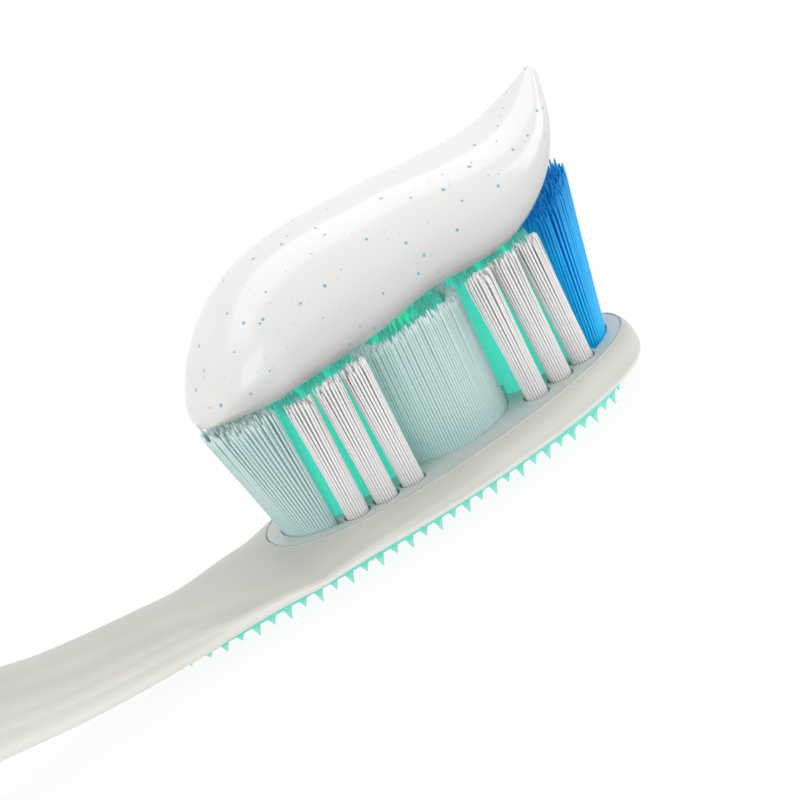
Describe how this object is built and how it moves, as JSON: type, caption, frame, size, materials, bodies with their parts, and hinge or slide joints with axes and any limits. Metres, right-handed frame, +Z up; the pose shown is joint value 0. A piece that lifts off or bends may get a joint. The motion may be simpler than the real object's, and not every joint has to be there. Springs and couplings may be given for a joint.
{
  "type": "toothbrush",
  "caption": "Manual toothbrush lying on its back, with mixed white, green and blue bristle tufts, a spiked tongue cleaner and a ribbon of paste on the bristles.",
  "frame": {"origin": "on the surface that the brush lies on, under the middle of its bounding box", "axes": "+X along the brush towards the tip of the head, +Y across it, +Z up, the way the bristles point"},
  "size_m": [0.1896, 0.0146, 0.0227],
  "materials": {
    "body_plastic": "satin warm off-white moulding",
    "plate_plastic": "satin light grey",
    "pad_rubber": "soft mint green, slightly translucent",
    "bristle_pale": "pale teal nylon filament",
    "bristle_white": "white nylon filament",
    "bristle_green": "turquoise nylon filament",
    "bristle_blue": "bright blue nylon filament",
    "paste": "glossy wet white paste with fine blue specks"
  },
  "bodies": {
    "root": {"handle": "body_plastic", "tuft_plate": "plate_plastic", "cleaner_pad": "pad_rubber", "rear_tuft": "bristle_pale", "tip_tuft": "bristle_blue", "cup_tuft": "bristle_pale", "core_tuft": "bristle_green", "paste": "paste", "near_side_tuft_1": "bristle_white", "near_side_tuft_2": "bristle_white", "near_side_tuft_3": "bristle_white", "near_side_tuft_4": "bristle_white", "near_side_tuft_5": "bristle_white", "near_side_tuft_6": "bristle_white", "near_inner_tuft_1": "bristle_green", "near_inner_tuft_2": "bristle_green", "near_inner_tuft_3": "bristle_green", "near_inner_tuft_4": "bristle_green", "near_inner_tuft_5": "bristle_green", "near_inner_tuft_6": "bristle_green", "far_side_tuft_1": "bristle_white", "far_side_tuft_2": "bristle_white", "far_side_tuft_3": "bristle_white", "far_side_tuft_4": "bristle_white", "far_side_tuft_5": "bristle_white", "far_side_tuft_6": "bristle_white", "far_inner_tuft_1": "bristle_green", "far_inner_tuft_2": "bristle_green", "far_inner_tuft_3": "bristle_green", "far_inner_tuft_4": "bristle_green", "far_inner_tuft_5": "bristle_green", "far_inner_tuft_6": "bristle_green"}
  },
  "joints": []
}
